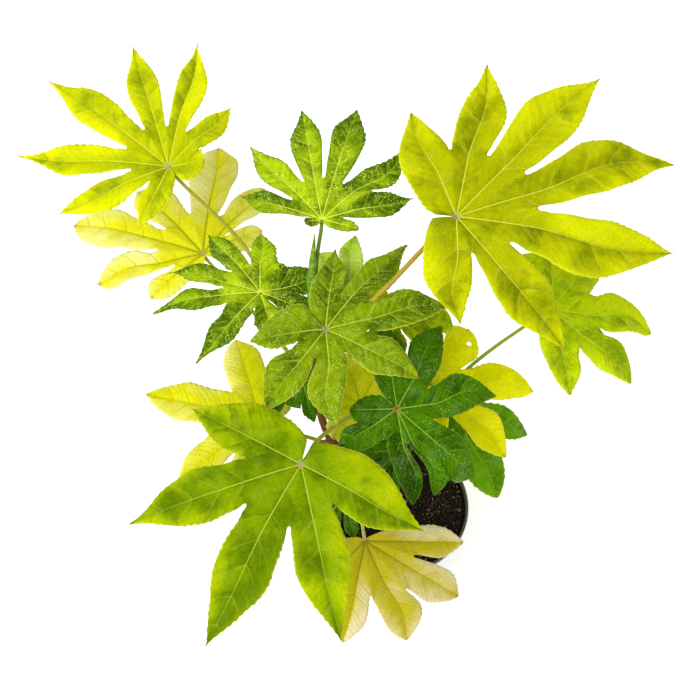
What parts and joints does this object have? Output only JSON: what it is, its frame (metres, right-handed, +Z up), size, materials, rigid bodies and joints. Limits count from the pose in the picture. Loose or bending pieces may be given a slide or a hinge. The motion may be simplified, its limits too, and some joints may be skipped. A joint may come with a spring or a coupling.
{
  "type": "potted fatsia",
  "caption": "Fatsia houseplant with large deeply lobed palmate leaves on long stalks, on slender woody stems in a small tapered round nursery pot.",
  "frame": {"origin": "middle of the pot's flat underside", "axes": "+Z up along the pot's axis; the plant's front, where its lowest big leaves hang, faces -Y, and +X is to the right seen from there"},
  "size_m": [0.5595, 0.5062, 0.3924],
  "materials": {
    "leaf_lime": "bright yellow-green leaf, satin",
    "leaf_green": "mid-green leaf with pale speckles, satin",
    "leaf_dark": "dark green leaf, glossy",
    "leaf_yellow": "yellow leaf with cream patches, satin",
    "leaf_speckled": "young green leaf with a cream tip, satin",
    "leaf_stalk": "smooth green-yellow stalk, satin",
    "stem_bark": "thin red-brown bark, dull",
    "potting_soil": "dark potting mix, dull",
    "pot_plastic": "thin black moulded plastic, satin"
  },
  "bodies": {
    "root": {"blade_upper_left": "leaf_lime", "blade_pale_left": "leaf_yellow", "blade_top": "leaf_green", "blade_big_right": "leaf_lime", "blade_far_right": "leaf_lime", "blade_mid_left": "leaf_green", "blade_crown": "leaf_green", "blade_under_crown_right": "leaf_green", "blade_young": "leaf_speckled", "blade_dark_right": "leaf_dark", "blade_low_right": "leaf_dark", "blade_yellow_right": "leaf_yellow", "blade_yellow_inner": "leaf_yellow", "blade_yellow_left": "leaf_yellow", "blade_big_front": "leaf_lime", "blade_pale_front": "leaf_yellow", "blade_soil_side": "leaf_dark", "blade_shade_left": "leaf_dark", "blade_shade_front": "leaf_dark", "stalk_upper_left": "leaf_stalk", "stalk_pale_left": "leaf_stalk", "stalk_top": "leaf_stalk", "stalk_big_right": "leaf_stalk", "stalk_far_right": "leaf_stalk", "stalk_mid_left": "leaf_stalk", "stalk_crown": "leaf_stalk", "stalk_under_crown_right": "leaf_stalk", "stalk_young": "leaf_stalk", "stalk_dark_right": "leaf_stalk", "stalk_low_right": "leaf_stalk", "stalk_yellow_right": "leaf_stalk", "stalk_yellow_inner": "leaf_stalk", "stalk_yellow_left": "leaf_stalk", "stalk_big_front": "leaf_stalk", "stalk_pale_front": "leaf_stalk", "stalk_soil_side": "leaf_stalk", "stalk_shade_left": "leaf_stalk", "stalk_shade_front": "leaf_stalk", "shoot_tip": "leaf_stalk", "stem_main": "stem_bark", "stem_side": "stem_bark", "soil": "potting_soil", "pot": "pot_plastic"}
  },
  "joints": []
}
